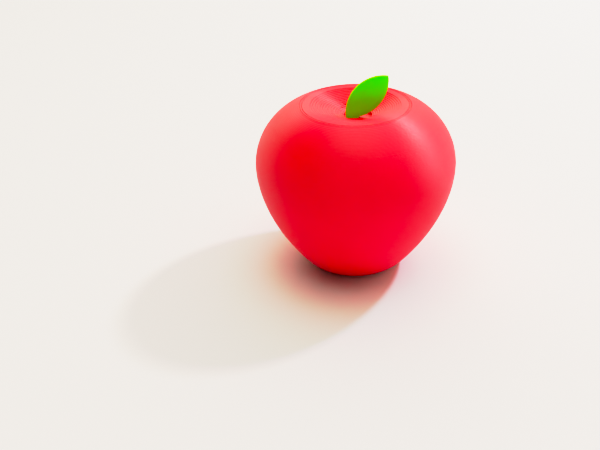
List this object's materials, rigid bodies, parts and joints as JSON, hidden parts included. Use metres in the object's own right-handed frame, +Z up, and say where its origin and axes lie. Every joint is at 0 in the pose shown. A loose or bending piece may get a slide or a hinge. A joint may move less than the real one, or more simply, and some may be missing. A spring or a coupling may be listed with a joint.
{
  "type": "apple ornament",
  "caption": "Plastic apple ornament with a narrow flat foot, round shoulders, a level crown with a shallow conical dimple and a pointed leaf plugged into a well at its bottom.",
  "frame": {"origin": "centre of the flat foot, on the surface the apple stands on", "axes": "+Z up along the apple's axis; the leaf leans towards +X, with its broad face towards -Y, the front"},
  "size_m": [0.08, 0.08, 0.079],
  "materials": {
    "red_plastic": "satin, fine horizontal layer lines",
    "green_plastic": "satin"
  },
  "bodies": {
    "root": {"apple_body": "red_plastic", "leaf": "green_plastic"}
  },
  "joints": []
}
